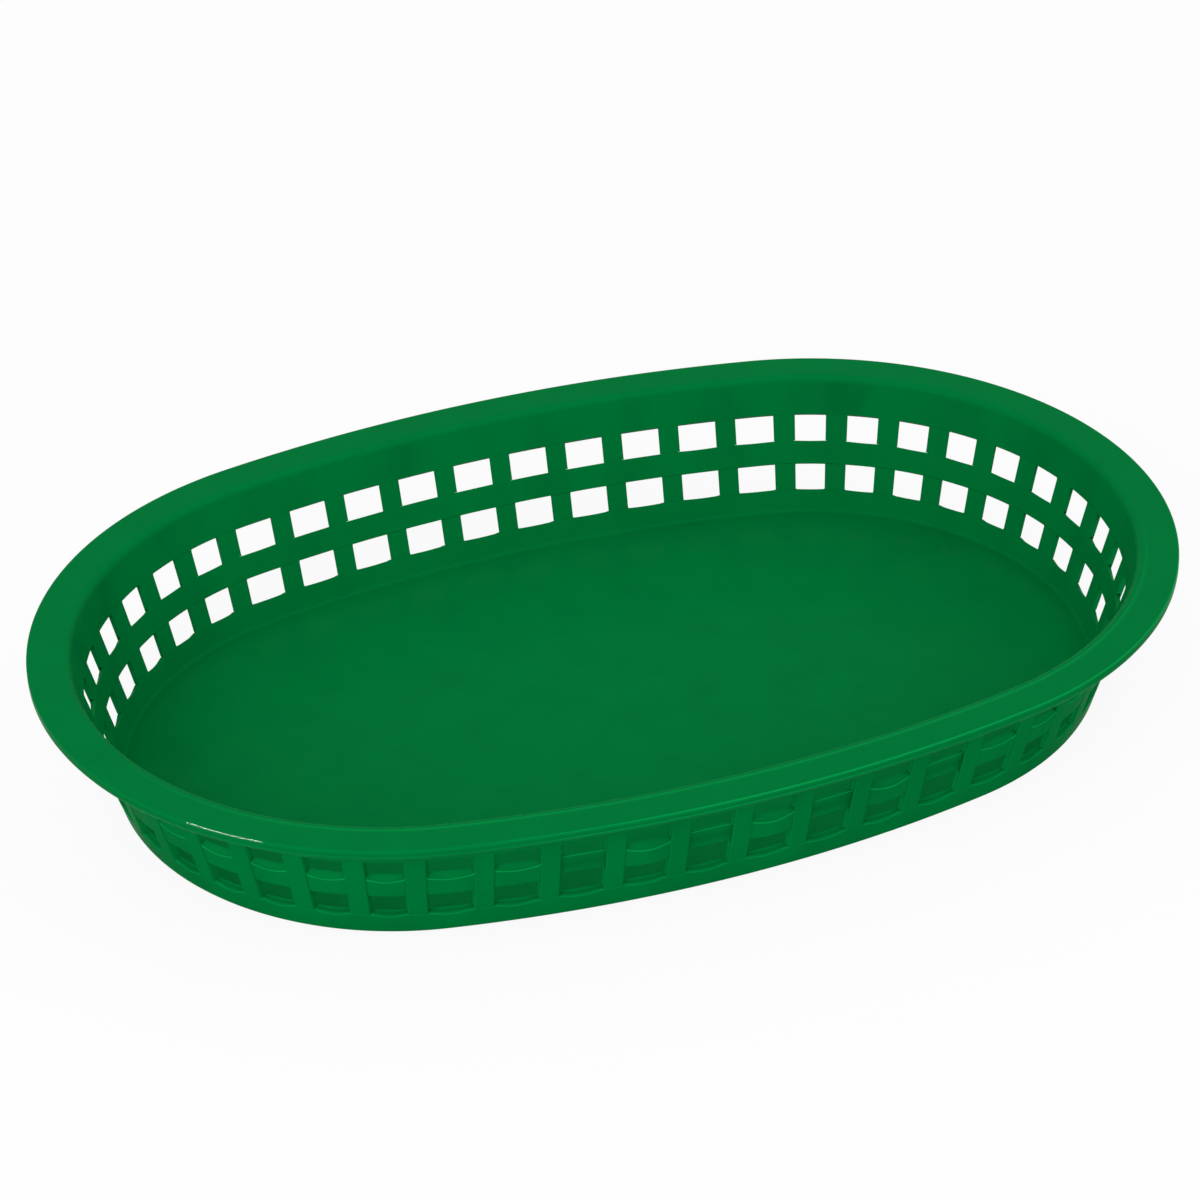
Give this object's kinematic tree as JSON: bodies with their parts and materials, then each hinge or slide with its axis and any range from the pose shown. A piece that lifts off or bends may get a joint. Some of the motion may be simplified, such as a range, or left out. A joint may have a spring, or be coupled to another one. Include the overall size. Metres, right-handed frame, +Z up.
{
  "type": "platter basket",
  "caption": "Shallow oval food basket in glossy plastic: flat floor, leaning lattice wall with a woven middle hoop, flat rim.",
  "frame": {"origin": "middle of the flat underside, on the surface that the basket stands on", "axes": "+X along the length, +Y across the width, +Z up out of the open top"},
  "size_m": [0.273, 0.1826, 0.0351],
  "materials": {
    "green_plastic": "glossy moulded polypropylene"
  },
  "bodies": {
    "root": {"floor_panel": "green_plastic", "base_corner": "green_plastic", "scalloped_band": "green_plastic", "woven_hoop": "green_plastic", "collar": "green_plastic", "rim": "green_plastic", "post_01": "green_plastic", "post_02": "green_plastic", "post_03": "green_plastic", "post_04": "green_plastic", "post_05": "green_plastic", "post_06": "green_plastic", "post_07": "green_plastic", "post_08": "green_plastic", "post_09": "green_plastic", "post_10": "green_plastic", "post_11": "green_plastic", "post_12": "green_plastic", "post_13": "green_plastic", "post_14": "green_plastic", "post_15": "green_plastic", "post_16": "green_plastic", "post_17": "green_plastic", "post_18": "green_plastic", "post_19": "green_plastic", "post_20": "green_plastic", "post_21": "green_plastic", "post_22": "green_plastic", "post_23": "green_plastic", "post_24": "green_plastic", "post_25": "green_plastic", "post_26": "green_plastic", "post_27": "green_plastic", "post_28": "green_plastic", "post_29": "green_plastic", "post_30": "green_plastic", "post_31": "green_plastic", "post_32": "green_plastic", "post_33": "green_plastic", "post_34": "green_plastic", "post_35": "green_plastic", "post_36": "green_plastic", "post_37": "green_plastic", "post_38": "green_plastic", "post_39": "green_plastic", "post_40": "green_plastic", "post_41": "green_plastic", "post_42": "green_plastic", "post_43": "green_plastic", "post_44": "green_plastic", "post_45": "green_plastic", "post_46": "green_plastic", "post_47": "green_plastic", "post_48": "green_plastic"}
  },
  "joints": []
}
